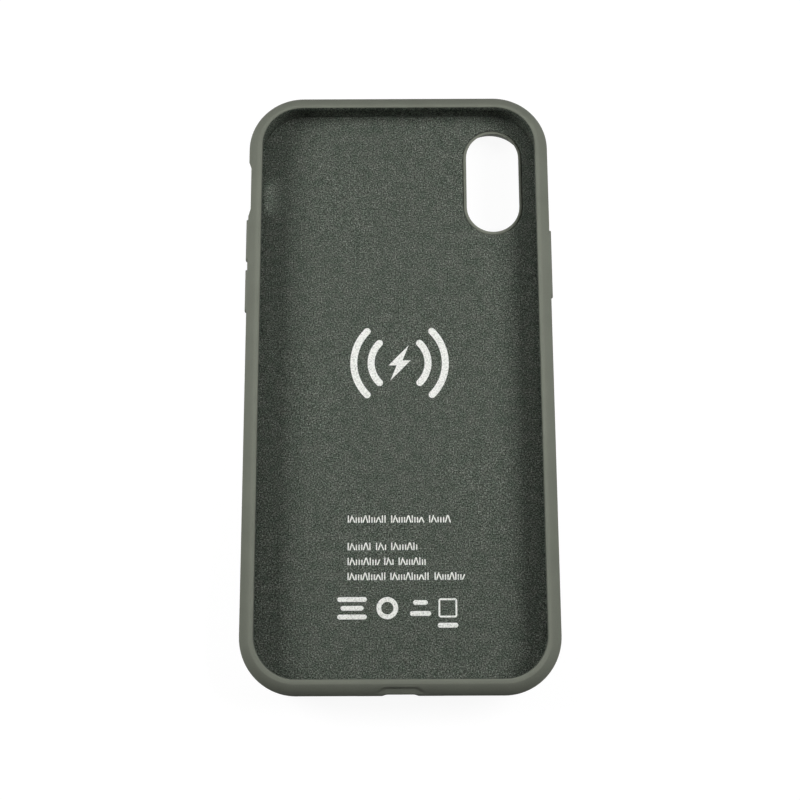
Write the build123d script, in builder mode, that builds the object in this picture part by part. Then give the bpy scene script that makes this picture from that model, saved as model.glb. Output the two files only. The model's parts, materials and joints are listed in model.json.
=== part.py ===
import math
import os

from build123d import *

# A soft phone case with a battery pack in its back, lying on its back with the phone pocket up.
# +Y is the phone's top end, +X the side key's side, and Z = 0 the back of the case. Millimetres.

# Phone that the pocket takes
phone_length = 143.6
phone_width = 70.9
phone_thickness = 7.7
phone_corner_radius = 11.2
phone_fit = 0.2  # play between phone and pocket wall, each side

# Soft outer cover
wall_side = 2.25
wall_top = 1.95
wall_bottom = 2.75
skin = 1.0  # back skin
lip_overhang = 1.25  # how far the rim reaches in over the phone
lip_rise = 0.9  # rim above the phone's glass
rim_outer_radius = 2.4
rim_inner_bevel = 0.45
pocket_edge_bevel = 2.0  # hollow under the lip, for the phone's round edge
back_edge_bevel = 2.4

# Camera opening: a pill that widens towards the back
camera_inset = 11.05  # its middle line, from the phone's side
camera_drop = 18.25  # its centre, from the phone's top end
camera_width = 13.4
camera_length = 26.6
camera_flare = 20.0  # degrees
collar_wall = 0.75
camera_back_bevel = 0.5

# Key pads, moulded on the side walls; drops run from the phone's top end
pad_proud = 0.6
pad_height = 3.6
pad_edge_bevel = 0.35
volume_up_drop = 35.2
volume_down_drop = 48.4
volume_pad_length = 11.0
side_pad_drop = 41.7
side_pad_length = 17.6
key_pocket_depth = 0.9  # relief behind each pad for the phone's own key
key_pocket_margin = 0.9

# Scoops in the outer wall, open at the rim, and the windows in them
mute_drop = 22.2
mute_scoop_length = 14.4
mute_scoop_depth = 0.7
mute_scoop_run = 1.6  # length of its slanted ends
mute_scoop_floor = 3.4  # below the phone's middle plane
mute_window_length = 9.0
mute_window_height = 4.8
port_scoop_width = 17.4
port_scoop_depth = 1.65
port_scoop_run = 4.8
port_scoop_drop = 4.55  # from the rim down to where its slanted floor runs out
port_window_width = 9.0
port_window_height = 4.8
window_radius = 1.6
sound_slot_spacing = 34.0
sound_slot_length = 12.0
sound_slot_height = 2.4

# Hard tray, plate and lining
tray_floor = 0.8
tray_wall = 0.9
tray_fit = 0.1
tray_edge_bevel = 0.8
rib = 0.8
rib_pitch = 14.0
deck_thickness = 0.8
deck_lip_height = 0.5
lining_thickness = 0.4
lining_fit = 0.15

# Battery cell and its protection strip
cell_thickness = 3.4
cell_margin = 1.6
cell_edge_bevel = 0.9
cell_foot_bevel = 0.45
cell_gap = 0.1  # room above the cell
tape_thickness = 0.1
tape_margin = 6.0
terrace_length = 4.0
terrace_thickness = 0.5
terrace_margin = 4.0
strip_length = 44.0
strip_width = 3.0
strip_thickness = 0.6
strip_chip = 2.0
strip_chip_height = 0.7
strip_chip_pitch = 4.0
tab_width = 4.0
tab_thickness = 0.15
tab_spacing = 16.0
lead_diameter = 1.1
lead_inset = 5.5  # from each end of the strip
lead_tail = 5.0  # from the fence to the lead's end on the board

# Transmit coil and ferrite
coil_drop = 65.85
coil_inner_radius = 9.4
coil_pitch = 1.7
coil_turns = 6
coil_sides = 8
coil_wire_width = 1.4
coil_thickness = 0.6
ferrite_side = 48.0
ferrite_thickness = 0.4
ferrite_slot = 1.6
coil_lead_width = 1.0
coil_tail = 4.25  # both ends of the wire, on the board

# Main board and what it carries; across is along X from the middle, up along Y from its centre
board_width = 60.0
board_length = 17.0
board_thickness = 0.8
board_corner_bevel = 4.5
board_fit = 0.4
fence_gap = 0.5  # each side of the rib between board and cell
fence_height = 1.0
socket_width = 8.9
socket_height = 3.2
socket_depth = 7.3
socket_wall = 0.3
socket_fit = 0.15
socket_recess = 0.6
tongue_width = 6.7
tongue_thickness = 0.7
tongue_reach = 4.4
tongue_base = 2.0
contact_pitch = 0.5
contact_count = 12
contact_width = 0.25
contact_length = 3.2
contact_thickness = 0.08
screw_across = 26.5
screw_up = 4.5
screw_shank = 1.2
screw_head = 2.4
screw_head_height = 0.45
screw_length = 3.2
screw_fit = 0.1
boss_diameter = 3.6
inductor_side = 6.0
inductor_height = 2.4
inductor_bevel = 0.3
inductor_across = -12.5
chip_side = 5.0
chip_height = 0.8
chip_bevel = 0.1
charge_chip_across = -20.5
driver_chip_across = 20.0
capacitor_length = 3.2
capacitor_width = 1.6
capacitor_height = 1.4
capacitor_bevel = 0.14
capacitor_pitch = 2.4
resonant_count = 3
resonant_across = 9.0
filter_gap = 0.75  # from the negative lead
filter_count = 2
part_up = -4.0
small_part_up = 4.0

# Power key and charge lights, both on the back
button_up = 3.4
button_diameter = 8.0
button_flange = 9.6
button_flange_height = 0.7
button_stem = 2.6
button_recess = 0.2
button_fit = 0.3
button_edge_bevel = 0.2
button_travel = 0.3
switch_side = 4.5
switch_height = 1.3
plunger_diameter = 2.0
plunger_reach = 0.8  # outside the switch at rest
plunger_depth = 0.5  # inside it
plunger_fit = 0.15
light_count = 4
light_pitch = 4.0
light_first = 10.5  # from the middle line
light_pin = 1.6  # side of each square pin
light_fit = 0.1
light_bar = 2.6
light_bar_height = 0.8
led_length = 1.6
led_width = 0.8
led_height = 0.6
led_gap = 0.15

# Heights, from the back up
floor_z = skin + tray_floor
cell_z = floor_z + tape_thickness
cell_top_z = cell_z + cell_thickness
board_z = floor_z + socket_height
board_top_z = board_z + board_thickness
coil_stack_z = cell_top_z + cell_gap + ferrite_thickness + coil_thickness
deck_z = max(coil_stack_z, board_top_z + coil_thickness)
coil_z = deck_z - coil_thickness
ferrite_z = coil_z - ferrite_thickness
lining_z = deck_z + deck_thickness
bay_z = lining_z + lining_thickness
phone_mid_z = bay_z + phone_thickness / 2
pocket_top_z = bay_z + phone_thickness
case_height = pocket_top_z + lip_rise
socket_mid_z = floor_z + socket_height / 2

# Outlines
pocket_width = phone_width + 2 * phone_fit
pocket_length = phone_length + 2 * phone_fit
pocket_radius = phone_corner_radius + phone_fit
case_width = pocket_width + 2 * wall_side
case_length = pocket_length + wall_top + wall_bottom
case_radius = pocket_radius + wall_side
pocket_y = (wall_bottom - wall_top) / 2
phone_top_y = pocket_y + phone_length / 2
tray_width = pocket_width - 2 * tray_fit
tray_length = pocket_length - 2 * tray_fit
tray_radius = pocket_radius - tray_fit
room_width = tray_width - 2 * tray_wall
room_length = tray_length - 2 * tray_wall
room_radius = tray_radius - tray_wall
room_bottom_y = pocket_y - room_length / 2
room_top_y = pocket_y + room_length / 2

# Places along the case
camera_x = phone_width / 2 - camera_inset
camera_y = phone_top_y - camera_drop
camera_slope = math.tan(math.radians(camera_flare))
camera_run = bay_z * camera_slope
sleeve_grow = collar_wall + tray_fit + tray_wall
coil_y = phone_top_y - coil_drop
board_y = room_bottom_y + board_fit + board_length / 2
fence_y = board_y + board_length / 2 + fence_gap + rib / 2
cell_low_y = fence_y + rib / 2 + fence_gap
cell_high_y = camera_y - camera_length / 2 - camera_run - sleeve_grow - cell_margin
cell_body_y = cell_low_y + terrace_length
cell_width = room_width - 2 * cell_margin
cell_body_length = cell_high_y - cell_body_y
strip_z = cell_z + terrace_thickness
strip_top_z = strip_z + strip_thickness
strip_y = cell_body_y - terrace_length / 2
lead_across = strip_length / 2 - lead_inset
filter_row = capacitor_width / 2 + (filter_count - 1) * capacitor_pitch
filter_across = -(lead_across + lead_diameter / 2 + filter_gap + filter_row)
socket_y = socket_recess - case_length / 2
button_y = board_y + button_up
cut = 1.0  # how far a cutting form runs past the face it opens


def pocket_outline(width, length, radius, z):
    """Rounded rectangle centred on the phone pocket."""
    with BuildSketch(Plane.XY.offset(z)) as outline:
        with Locations((0, pocket_y)):
            RectangleRounded(width, length, radius)
    return outline.sketch


def camera_outline(grow, z):
    """Pill of the flared camera opening at height z, grown all round."""
    grow = grow + (bay_z - z) * camera_slope
    with BuildSketch(Plane.XY.offset(z)) as outline:
        with Locations((camera_x, camera_y)):
            SlotOverall(camera_length + 2 * grow, camera_width + 2 * grow, rotation=90)
    return outline.sketch


def side_slot(x, y, length, height):
    """Pill on a side wall, at the phone's middle height, facing along X."""
    with BuildSketch(Plane.YZ.offset(x)) as slot:
        with Locations((y, phone_mid_z)):
            SlotOverall(length, height)
    return slot.sketch


def socket_outline(grow, y):
    """Oval of the charge socket, facing the bottom end."""
    with BuildSketch(Plane.XZ.offset(-y)) as oval:
        with Locations((0, socket_mid_z)):
            SlotOverall(socket_width + 2 * grow, socket_height + 2 * grow)
    return oval.sketch


def lead_path(x):
    """Route of a lead from the strip's top to the board's underside."""
    low_z = strip_top_z + lead_diameter / 2
    high_z = board_z - lead_diameter / 2
    route = [(x, cell_body_y - lead_diameter, low_z), (x, fence_y, low_z),
             (x, fence_y - 2 * fence_gap - lead_diameter, high_z), (x, fence_y - lead_tail, high_z)]
    with BuildLine() as path:
        Polyline(*route)
    return path.line


def finish(piece, name):
    piece.part.label = name
    export_step(piece.part, f"parts/{name}.step")


os.makedirs("parts", exist_ok=True)

# Room in the cover for the phone and the battery pack
with BuildPart() as pocket_room:
    extrude(pocket_outline(pocket_width, pocket_length, pocket_radius, skin), amount=pocket_top_z - skin)
    chamfer(pocket_room.edges().group_by(Axis.Z)[-1], pocket_edge_bevel)
    chamfer(pocket_room.edges().group_by(Axis.Z)[0], tray_edge_bevel)

# Outer cover: walls, lip, back skin, pads, scoops and collar in one moulding
pads = [
    (-1, phone_top_y - volume_up_drop, volume_pad_length),
    (-1, phone_top_y - volume_down_drop, volume_pad_length),
    (1, phone_top_y - side_pad_drop, side_pad_length),
]
mute_y = phone_top_y - mute_drop
light_places = [(light_first + i * light_pitch, button_y) for i in range(light_count)]
light_hole = light_pin + 2 * light_fit

with BuildPart() as outer_cover:
    with BuildSketch():
        RectangleRounded(case_width, case_length, case_radius)
    extrude(amount=case_height)
    fillet(outer_cover.edges().group_by(Axis.Z)[-1], rim_outer_radius)
    chamfer(outer_cover.edges().group_by(Axis.Z)[0], back_edge_bevel)

    for side, y, length in pads:
        extrude(side_slot(side * (case_width / 2 - wall_side / 2), y, length, pad_height),
                amount=side * (wall_side / 2 + pad_proud))
        chamfer(outer_cover.faces().sort_by(Axis.X)[0 if side < 0 else -1].edges(), pad_edge_bevel)

    add(pocket_room.part, mode=Mode.SUBTRACT)
    extrude(pocket_outline(pocket_width - 2 * lip_overhang, pocket_length - 2 * lip_overhang,
                           pocket_radius - lip_overhang, phone_mid_z),
            amount=case_height - phone_mid_z, mode=Mode.SUBTRACT)
    chamfer(outer_cover.faces().sort_by(Axis.Z)[-1].inner_wires().edges(), rim_inner_bevel)

    for side, y, length in pads:
        with BuildSketch(Plane.YZ.offset(side * pocket_width / 2)):
            with Locations((y, phone_mid_z)):
                Rectangle(length - 2 * key_pocket_margin, pad_height - 2 * key_pocket_margin)
        extrude(amount=side * key_pocket_depth, mode=Mode.SUBTRACT)

    extrude(camera_outline(collar_wall, skin), amount=bay_z - skin, taper=camera_flare)
    extrude(camera_outline(0, 0), amount=bay_z, taper=camera_flare, mode=Mode.SUBTRACT)
    chamfer(outer_cover.faces().sort_by(Axis.Z)[0].inner_wires().edges(), camera_back_bevel)

    with BuildSketch(Plane.XY.offset(case_height)):
        with BuildLine():
            Polyline((-port_scoop_width / 2, -case_length / 2),
                     (port_scoop_run - port_scoop_width / 2, port_scoop_depth - case_length / 2),
                     (port_scoop_width / 2 - port_scoop_run, port_scoop_depth - case_length / 2),
                     (port_scoop_width / 2, -case_length / 2),
                     (port_scoop_width / 2, -cut - case_length / 2),
                     (-port_scoop_width / 2, -cut - case_length / 2), close=True)
        make_face()
    port_scoop_slope = Vector(0, -port_scoop_depth, -port_scoop_drop)
    extrude(dir=port_scoop_slope.normalized(), amount=port_scoop_slope.length + cut, mode=Mode.SUBTRACT)
    with BuildSketch(Plane.XY.offset(phone_mid_z - mute_scoop_floor)):
        with BuildLine():
            Polyline((-case_width / 2, mute_y - mute_scoop_length / 2),
                     (mute_scoop_depth - case_width / 2, mute_y - mute_scoop_length / 2 + mute_scoop_run),
                     (mute_scoop_depth - case_width / 2, mute_y + mute_scoop_length / 2 - mute_scoop_run),
                     (-case_width / 2, mute_y + mute_scoop_length / 2),
                     (-cut - case_width / 2, mute_y + mute_scoop_length / 2),
                     (-cut - case_width / 2, mute_y - mute_scoop_length / 2), close=True)
        make_face()
    extrude(amount=case_height, mode=Mode.SUBTRACT)

    with BuildSketch(Plane.XZ.offset(case_length / 2)):
        with Locations((0, phone_mid_z)):
            RectangleRounded(port_window_width, port_window_height, window_radius)
            with GridLocations(sound_slot_spacing, 0, 2, 1):
                SlotOverall(sound_slot_length, sound_slot_height)
    extrude(amount=-wall_bottom - cut, mode=Mode.SUBTRACT)
    with BuildSketch(Plane.YZ.offset(-case_width / 2)):
        with Locations((mute_y, phone_mid_z)):
            RectangleRounded(mute_window_length, mute_window_height, window_radius)
    extrude(amount=wall_side + cut, mode=Mode.SUBTRACT)
    extrude(socket_outline(socket_fit, -case_length / 2), amount=-wall_bottom - tray_edge_bevel,
            mode=Mode.SUBTRACT)
    with BuildSketch():
        with Locations((0, button_y)):
            Circle(button_diameter / 2 + button_fit)
        with Locations(*light_places):
            Rectangle(light_hole, light_hole)
    extrude(amount=floor_z, mode=Mode.SUBTRACT)
finish(outer_cover, "outer_cover")

# Inner tray: floor, wall, camera sleeve, ribs under the plate, bosses and the fence below the cell
screw_places = [(-screw_across, board_y + screw_up), (screw_across, board_y + screw_up)]
rib_low_y = cell_high_y + cell_margin
rib_rows = int((room_top_y - rib_low_y) / rib_pitch)
rib_columns = int((camera_x - camera_width / 2 + room_width / 2) / rib_pitch)

with BuildPart() as tray_room:
    extrude(pocket_outline(room_width, room_length, room_radius, floor_z), amount=deck_z - floor_z)
    with BuildSketch(Plane.XY.offset(floor_z)):
        for i in range(rib_rows):
            with Locations((camera_x, rib_low_y + i * rib_pitch)):
                Rectangle(case_width, rib, align=(Align.MAX, Align.CENTER))
        for i in range(rib_columns):
            with Locations(((i + 1) * rib_pitch - room_width / 2, rib_low_y)):
                Rectangle(rib, case_length, align=(Align.CENTER, Align.MIN))
    extrude(amount=deck_z - floor_z, mode=Mode.SUBTRACT)
    extrude(camera_outline(sleeve_grow, skin), amount=bay_z - skin, taper=camera_flare, mode=Mode.SUBTRACT)
    with BuildSketch(Plane.XY.offset(floor_z)):
        with Locations((0, fence_y)):
            Rectangle(cell_width, rib)
    extrude(amount=fence_height, mode=Mode.SUBTRACT)
    with BuildSketch(Plane.XY.offset(floor_z)):
        with Locations(*screw_places):
            Circle(boss_diameter / 2)
    extrude(amount=board_z - floor_z, mode=Mode.SUBTRACT)

with BuildPart() as inner_tray:
    extrude(pocket_outline(tray_width, tray_length, tray_radius, skin), amount=deck_z - skin)
    chamfer(inner_tray.edges().group_by(Axis.Z)[0], tray_edge_bevel)
    add(tray_room.part, mode=Mode.SUBTRACT)
    extrude(camera_outline(collar_wall + tray_fit, skin), amount=bay_z - skin, taper=camera_flare,
            mode=Mode.SUBTRACT)
    with BuildSketch(Plane.XY.offset(board_z)):
        with Locations(*screw_places):
            Circle(screw_shank / 2 + screw_fit / 2)
    extrude(amount=board_thickness - screw_length - screw_fit, mode=Mode.SUBTRACT)
    extrude(socket_outline(socket_fit, room_bottom_y + tray_edge_bevel),
            amount=tray_edge_bevel + tray_wall + cut, mode=Mode.SUBTRACT)
    with BuildSketch(Plane.XY.offset(skin)):
        with Locations((0, button_y)):
            Circle(button_diameter / 2 + button_fit)
        with Locations(*light_places):
            Rectangle(light_hole, light_hole)
    extrude(amount=tray_floor, mode=Mode.SUBTRACT)
finish(inner_tray, "inner_tray")

# Deck plate: closes the tray, with a locating lip inside its wall
with BuildPart() as deck_plate:
    extrude(pocket_outline(tray_width, tray_length, tray_radius, deck_z), amount=deck_thickness)
    lip_width = room_width - 2 * tray_fit
    lip_length = room_length - 2 * tray_fit
    lip_radius = room_radius - tray_fit
    lip_z = deck_z - deck_lip_height
    extrude(pocket_outline(lip_width, lip_length, lip_radius, lip_z), amount=deck_lip_height)
    extrude(pocket_outline(lip_width - 2 * rib, lip_length - 2 * rib, lip_radius - rib, lip_z),
            amount=deck_lip_height, mode=Mode.SUBTRACT)
    with BuildSketch(Plane.XY.offset(lip_z)):
        with Locations((0, rib_low_y - rib)):
            Rectangle(tray_width, tray_length, align=(Align.CENTER, Align.MIN))
    extrude(amount=deck_lip_height, mode=Mode.SUBTRACT)
    extrude(camera_outline(collar_wall + tray_fit, deck_z), amount=deck_thickness, taper=camera_flare,
            mode=Mode.SUBTRACT)
finish(deck_plate, "deck_plate")

# Lining: flock cloth on the pocket floor
with BuildPart() as lining:
    extrude(pocket_outline(pocket_width - 2 * lining_fit, pocket_length - 2 * lining_fit,
                           pocket_radius - lining_fit, lining_z), amount=lining_thickness)
    extrude(camera_outline(collar_wall + tray_fit, lining_z), amount=lining_thickness, mode=Mode.SUBTRACT)
finish(lining, "lining")

# Battery cell: pouch with a sealed terrace at its tab end
with BuildPart() as battery_cell:
    with BuildSketch(Plane.XY.offset(cell_z)):
        with Locations((0, cell_body_y + cell_body_length / 2)):
            Rectangle(cell_width, cell_body_length)
    extrude(amount=cell_thickness)
    chamfer(battery_cell.edges().group_by(Axis.Z)[-1], cell_edge_bevel)
    chamfer(battery_cell.edges().group_by(Axis.Z)[0], cell_foot_bevel)
    with BuildSketch(Plane.XY.offset(cell_z)):
        with Locations((0, cell_low_y)):
            Rectangle(cell_width - 2 * terrace_margin, terrace_length + cell_edge_bevel,
                      align=(Align.CENTER, Align.MIN))
    extrude(amount=terrace_thickness)
finish(battery_cell, "battery_cell")

with BuildPart() as cell_tape:
    with BuildSketch(Plane.XY.offset(floor_z)):
        with Locations((0, cell_body_y + cell_body_length / 2)):
            Rectangle(cell_width - 2 * tape_margin, cell_body_length - 2 * tape_margin)
    extrude(amount=tape_thickness)
finish(cell_tape, "cell_tape")

# Protection strip on the terrace, with its chips, the cell's tabs and the two leads
with BuildPart() as protection_board:
    with BuildSketch(Plane.XY.offset(strip_z)):
        with Locations((0, strip_y)):
            Rectangle(strip_length, strip_width)
    extrude(amount=strip_thickness)
finish(protection_board, "protection_board")

with BuildPart() as protection_chips:
    with BuildSketch(Plane.XY.offset(strip_top_z)):
        with Locations((0, strip_y)):
            with GridLocations(strip_chip_pitch, 0, 2, 1):
                Rectangle(strip_chip, strip_chip)
    extrude(amount=strip_chip_height)
    chamfer(protection_chips.edges().group_by(Axis.Z)[-1], chip_bevel)
finish(protection_chips, "protection_chips")

with BuildPart() as cell_tabs:
    with BuildSketch(Plane.XY.offset(strip_top_z)):
        with Locations((0, cell_body_y)):
            with GridLocations(tab_spacing, 0, 2, 1):
                Rectangle(tab_width, strip_width, align=(Align.CENTER, Align.MAX))
    extrude(amount=tab_thickness)
finish(cell_tabs, "cell_tabs")

for name, side in (("positive_lead", 1), ("negative_lead", -1)):
    route = lead_path(side * lead_across)
    with BuildPart() as lead:
        with BuildSketch(Plane(route @ 0, z_dir=route % 0)):
            Circle(lead_diameter / 2)
        sweep(path=route, transition=Transition.RIGHT)
    finish(lead, name)

# Transmit coil: flat wire wound in an eight-sided spiral, then straight down to the board
coil_steps = coil_sides * coil_turns - coil_sides // 2
coil_mid_z = coil_z + coil_thickness / 2
coil_end_y = board_y + board_length / 2 - coil_tail
coil_corners = []
for i in range(coil_steps + 1):
    turn = 2 * math.pi * i / coil_sides
    reach = coil_inner_radius + i * coil_pitch / coil_sides
    coil_corners.append((reach * math.cos(turn), coil_y + reach * math.sin(turn)))

with BuildPart() as transmit_coil:
    with BuildLine(Plane.XY.offset(coil_mid_z)) as winding:
        Polyline(*coil_corners, (coil_corners[-1][0], coil_end_y))
    heading = winding.line % 0
    with BuildSketch(Plane(winding.line @ 0, x_dir=heading.cross(Vector(0, 0, 1)), z_dir=heading)):
        Rectangle(coil_wire_width, coil_thickness)
    sweep(path=winding.line, transition=Transition.RIGHT)
finish(transmit_coil, "transmit_coil")

# Inner end of the coil: a flat lead under the turns, in the ferrite's slot, and up onto the board
lead_mid_z = coil_z - ferrite_thickness / 2
lead_rise_z = board_top_z + ferrite_thickness / 2
lead_step_y = board_y + board_length / 2 + coil_lead_width

with BuildPart() as coil_inner_lead:
    with BuildLine(Plane.YZ.offset(coil_inner_radius)) as lead_line:
        Polyline((coil_y, lead_mid_z), (lead_step_y + 2 * coil_lead_width, lead_mid_z),
                 (lead_step_y, lead_rise_z), (coil_end_y, lead_rise_z))
    with BuildSketch(Plane(lead_line.line @ 0, x_dir=(1, 0, 0), z_dir=lead_line.line % 0)):
        Rectangle(coil_lead_width, ferrite_thickness)
    sweep(path=lead_line.line, transition=Transition.RIGHT)
finish(coil_inner_lead, "coil_inner_lead")

with BuildPart() as ferrite_sheet:
    with BuildSketch(Plane.XY.offset(ferrite_z)):
        with Locations((0, coil_y)):
            Rectangle(ferrite_side, ferrite_side)
        with Locations((coil_inner_radius, coil_y + ferrite_slot / 2)):
            Rectangle(ferrite_slot, ferrite_side, align=(Align.CENTER, Align.MAX), mode=Mode.SUBTRACT)
    extrude(amount=ferrite_thickness)
finish(ferrite_sheet, "ferrite_sheet")

# Main board on its two bosses and on the socket
with BuildPart() as main_board:
    with BuildSketch(Plane.XY.offset(board_z)):
        with Locations((0, board_y)):
            outline = Rectangle(board_width, board_length)
        chamfer(outline.vertices(), board_corner_bevel)
        with Locations(*screw_places):
            Circle(screw_shank / 2 + screw_fit, mode=Mode.SUBTRACT)
    extrude(amount=board_thickness)
finish(main_board, "main_board")

with BuildPart() as board_screws:
    with BuildSketch(Plane.XY.offset(board_top_z)):
        with Locations(*screw_places):
            Circle(screw_head / 2)
    extrude(amount=screw_head_height)
    with BuildSketch(Plane.XY.offset(board_top_z)):
        with Locations(*screw_places):
            Circle(screw_shank / 2)
    extrude(amount=-screw_length)
finish(board_screws, "board_screws")

# Charge socket: folded shell, moulded tongue and contact strips
with BuildPart() as charge_port_shell:
    extrude(socket_outline(0, socket_y), amount=-socket_depth)
    extrude(socket_outline(-socket_wall, socket_y), amount=socket_wall - socket_depth, mode=Mode.SUBTRACT)
finish(charge_port_shell, "charge_port_shell")

tongue_back_y = socket_y + socket_depth - socket_wall
tongue_root_y = tongue_back_y - tongue_base

with BuildPart() as charge_port_tongue:
    extrude(socket_outline(-socket_wall - socket_fit / 2, tongue_root_y), amount=-tongue_base)
    with BuildSketch(Plane.XZ.offset(-tongue_root_y)):
        with Locations((0, socket_mid_z)):
            Rectangle(tongue_width, tongue_thickness)
    extrude(amount=tongue_reach)
finish(charge_port_tongue, "charge_port_tongue")

with BuildPart() as charge_port_contacts:
    for face in (1, -1):
        with BuildSketch(Plane.XY.offset(socket_mid_z + face * tongue_thickness / 2)):
            with Locations((0, tongue_root_y)):
                with GridLocations(contact_pitch, 0, contact_count, 1):
                    Rectangle(contact_width, contact_length, align=(Align.CENTER, Align.MAX))
        extrude(amount=face * contact_thickness)
finish(charge_port_contacts, "charge_port_contacts")

# Parts soldered to the board's underside
part_y = board_y + part_up
small_part_y = board_y + small_part_up

with BuildPart() as boost_inductor:
    with BuildSketch(Plane.XY.offset(board_z)):
        with Locations((inductor_across, part_y)):
            Rectangle(inductor_side, inductor_side)
    extrude(amount=-inductor_height)
    chamfer(boost_inductor.edges().group_by(Axis.Z)[0], inductor_bevel)
finish(boost_inductor, "boost_inductor")

for name, across in (("charge_chip", charge_chip_across), ("coil_driver_chip", driver_chip_across)):
    with BuildPart() as chip:
        with BuildSketch(Plane.XY.offset(board_z)):
            with Locations((across, part_y)):
                Rectangle(chip_side, chip_side)
        extrude(amount=-chip_height)
        chamfer(chip.edges().group_by(Axis.Z)[0], chip_bevel)
    finish(chip, name)

capacitor_rows = (
    ("resonant_capacitors", resonant_across, part_y, resonant_count),
    ("filter_capacitors", filter_across, small_part_y, filter_count),
)
for name, across, y, count in capacitor_rows:
    with BuildPart() as capacitors:
        with BuildSketch(Plane.XY.offset(board_z)):
            with Locations(*[(across + i * capacitor_pitch, y) for i in range(count)]):
                Rectangle(capacitor_width, capacitor_length)
        extrude(amount=-capacitor_height)
        chamfer(capacitors.edges().group_by(Axis.Z)[0], capacitor_bevel)
    finish(capacitors, name)

with BuildPart() as indicator_leds:
    with BuildSketch(Plane.XY.offset(board_z)):
        with Locations(*light_places):
            Rectangle(led_length, led_width)
    extrude(amount=-led_height)
finish(indicator_leds, "indicator_leds")

# Light guide: a bar on the tray floor with one pin through the back for each light
with BuildPart() as light_guide:
    with BuildSketch(Plane.XY.offset(floor_z)):
        with Locations((light_first + (light_count - 1) * light_pitch / 2, button_y)):
            Rectangle((light_count - 1) * light_pitch + light_bar, light_bar)
    extrude(amount=light_bar_height)
    with BuildSketch():
        with Locations(*light_places):
            Rectangle(light_pin, light_pin)
    extrude(amount=board_z - led_height - led_gap)
finish(light_guide, "light_guide")

# Power switch, its plunger and the key that presses it
switch_z = board_z - switch_height
plunger_z = switch_z - plunger_reach

with BuildPart() as power_switch:
    with BuildSketch(Plane.XY.offset(board_z)):
        with Locations((0, button_y)):
            Rectangle(switch_side, switch_side)
    extrude(amount=-switch_height)
    with BuildSketch(Plane.XY.offset(switch_z)):
        with Locations((0, button_y)):
            Circle(plunger_diameter / 2 + plunger_fit)
    extrude(amount=plunger_depth + button_travel + plunger_fit, mode=Mode.SUBTRACT)
finish(power_switch, "power_switch")

with BuildPart() as switch_plunger:
    with BuildSketch(Plane.XY.offset(plunger_z)):
        with Locations((0, button_y)):
            Circle(plunger_diameter / 2)
    extrude(amount=plunger_reach + plunger_depth)
finish(switch_plunger, "switch_plunger")

# Key: cap in the back, a flange inside the tray and a stem to the plunger
with BuildPart() as power_button:
    with BuildSketch(Plane.XZ.offset(-button_y)):
        with BuildLine():
            Polyline((button_diameter / 2, button_recess), (button_diameter / 2, floor_z),
                     (button_flange / 2, floor_z), (button_flange / 2, floor_z + button_flange_height),
                     (button_stem / 2, floor_z + button_flange_height), (button_stem / 2, plunger_z),
                     (0, plunger_z), (0, button_recess), close=True)
        make_face()
    revolve(axis=Axis((0, button_y, 0), (0, 0, 1)))
    chamfer(power_button.edges().group_by(Axis.Z)[0], button_edge_bevel)
finish(power_button, "power_button")
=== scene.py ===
import json
import math

import bmesh
import bpy
import numpy as np
from mathutils import Matrix, Vector


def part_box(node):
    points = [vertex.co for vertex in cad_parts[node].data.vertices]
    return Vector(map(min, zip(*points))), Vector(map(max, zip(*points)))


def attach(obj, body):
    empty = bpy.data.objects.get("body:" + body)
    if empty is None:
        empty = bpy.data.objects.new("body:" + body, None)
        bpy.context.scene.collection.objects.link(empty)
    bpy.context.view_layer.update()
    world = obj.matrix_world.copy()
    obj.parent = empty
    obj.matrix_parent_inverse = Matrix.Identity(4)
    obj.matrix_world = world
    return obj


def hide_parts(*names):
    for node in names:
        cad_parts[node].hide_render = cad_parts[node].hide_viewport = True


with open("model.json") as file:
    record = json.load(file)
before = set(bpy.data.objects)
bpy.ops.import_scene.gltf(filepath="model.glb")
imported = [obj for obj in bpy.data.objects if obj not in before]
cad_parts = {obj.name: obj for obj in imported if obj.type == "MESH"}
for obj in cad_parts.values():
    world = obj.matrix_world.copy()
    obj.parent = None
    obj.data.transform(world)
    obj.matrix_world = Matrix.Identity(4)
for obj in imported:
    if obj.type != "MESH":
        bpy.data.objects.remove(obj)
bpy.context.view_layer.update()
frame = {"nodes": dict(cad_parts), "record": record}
nodes = frame["nodes"]
mm = 0.001  # sizes below are millimetres in the part's own frame
print("frame loaded:", len(nodes), "nodes")


def boxOf(node):
    low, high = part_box(node)
    return np.array(low) / mm, np.array(high) / mm


# Mesh building: points and faces are gathered as whole arrays, then made one mesh

meshing = {"weld": 1e-6, "level": 1e-3, "sharp": 38.0}  # metres, millimetres, degrees


def newSkin():
    return {"points": [], "faces": [], "count": 0}


def addPoints(skin, points):
    # returns the new vertex numbers in the shape of the given array
    points = np.asarray(points, float)
    start = skin["count"]
    skin["points"].append(points.reshape(-1, 3))
    skin["count"] += points.size // 3
    return np.arange(start, skin["count"]).reshape(points.shape[:-1])


def addQuads(skin, index, wrap=False, keep=None):
    # index has a row of vertex numbers for each step; wrap joins its last column to the first
    if wrap:
        index = np.concatenate([index, index[:, :1]], axis=1)
    quads = np.stack([index[:-1, :-1], index[:-1, 1:], index[1:, 1:], index[1:, :-1]], axis=-1)
    skin["faces"].append(quads[keep] if keep is not None else quads.reshape(-1, 4))


def addTube(skin, core, out, radius, profile):
    # ring surface: core point + (radius + offset) * outward direction, at each profile (offset, z)
    rings = [np.c_[core + (radius + offset) * out, np.full(len(core), z)] for offset, z in profile]
    addQuads(skin, addPoints(skin, np.array(rings)), wrap=True)


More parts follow.
